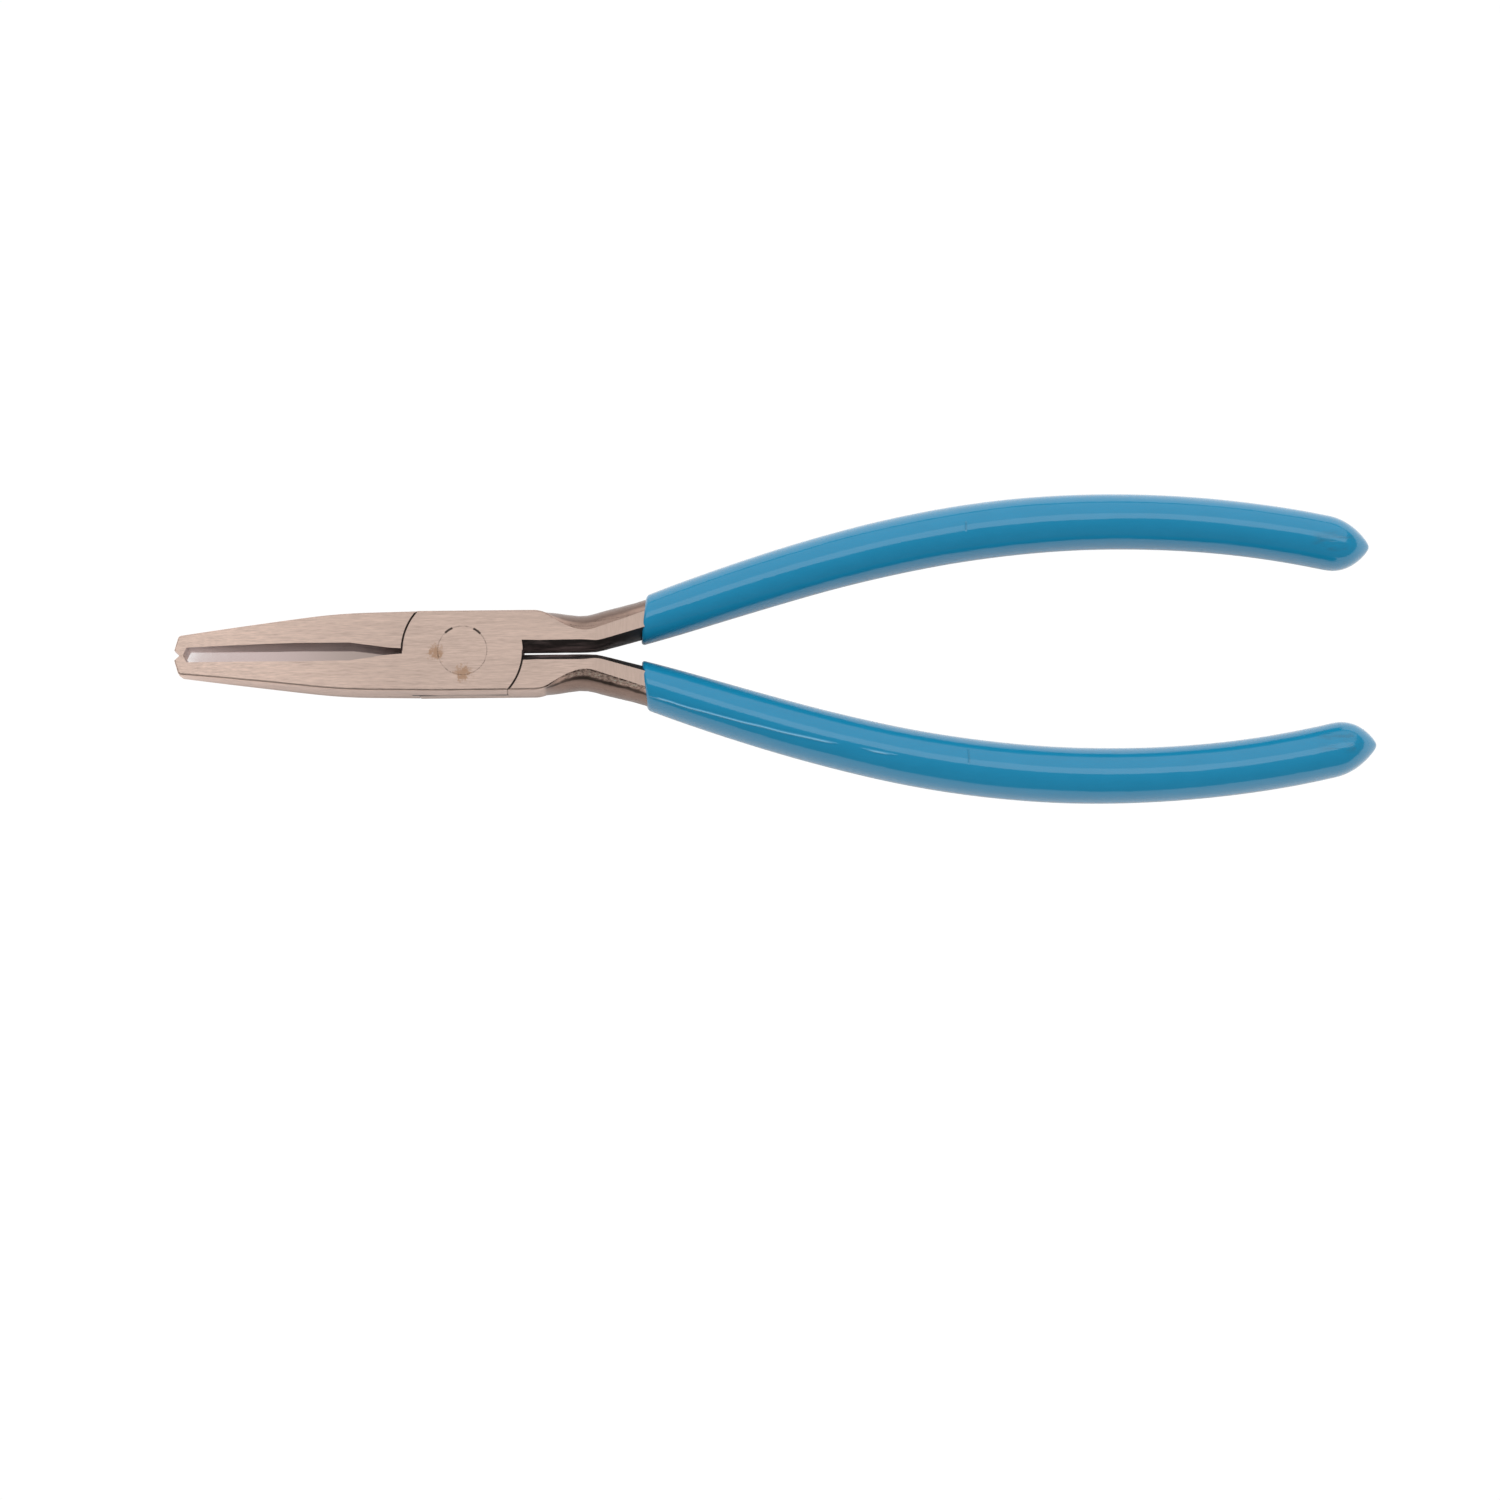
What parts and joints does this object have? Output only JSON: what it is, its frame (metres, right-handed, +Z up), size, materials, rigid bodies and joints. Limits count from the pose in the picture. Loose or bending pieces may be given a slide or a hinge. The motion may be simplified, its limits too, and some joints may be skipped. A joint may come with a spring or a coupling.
{
  "type": "long reach pliers",
  "caption": "Slim long reach pliers with a flush riveted lap joint, ground steel cheeks, edge-closing jaw tips and blue dipped handles.",
  "frame": {"origin": "on the rivet's axis, in the plane of the lower ground cheek", "axes": "+X from the rivet to the handles, +Z up the rivet's axis, +Y towards the upper jaw"},
  "size_m": [0.2031, 0.053, 0.0121],
  "materials": {
    "forged_steel": "belt ground cheeks with a fine lengthwise grain, bright ground necks, black forge scale between the handles",
    "rivet_steel": "ground flush with the cheeks, a few rust specks round its rim",
    "dipped_vinyl": "glossy dipped coating, smooth with a faint orange peel"
  },
  "bodies": {
    "upper_jaw_body": {"upper_jaw_lever": "forged_steel", "lower_handle_grip": "dipped_vinyl", "pivot_rivet": "rivet_steel"},
    "lower_jaw_body": {"lower_jaw_lever": "forged_steel", "upper_handle_grip": "dipped_vinyl"}
  },
  "joints": [
    {"name": "jaw_pivot", "type": "hinge", "parent": "upper_jaw_body", "child": "lower_jaw_body", "pos_m": [0, 0, 0.00485], "axis": [0, 0, 1], "range_deg": [0, 60]}
  ]
}
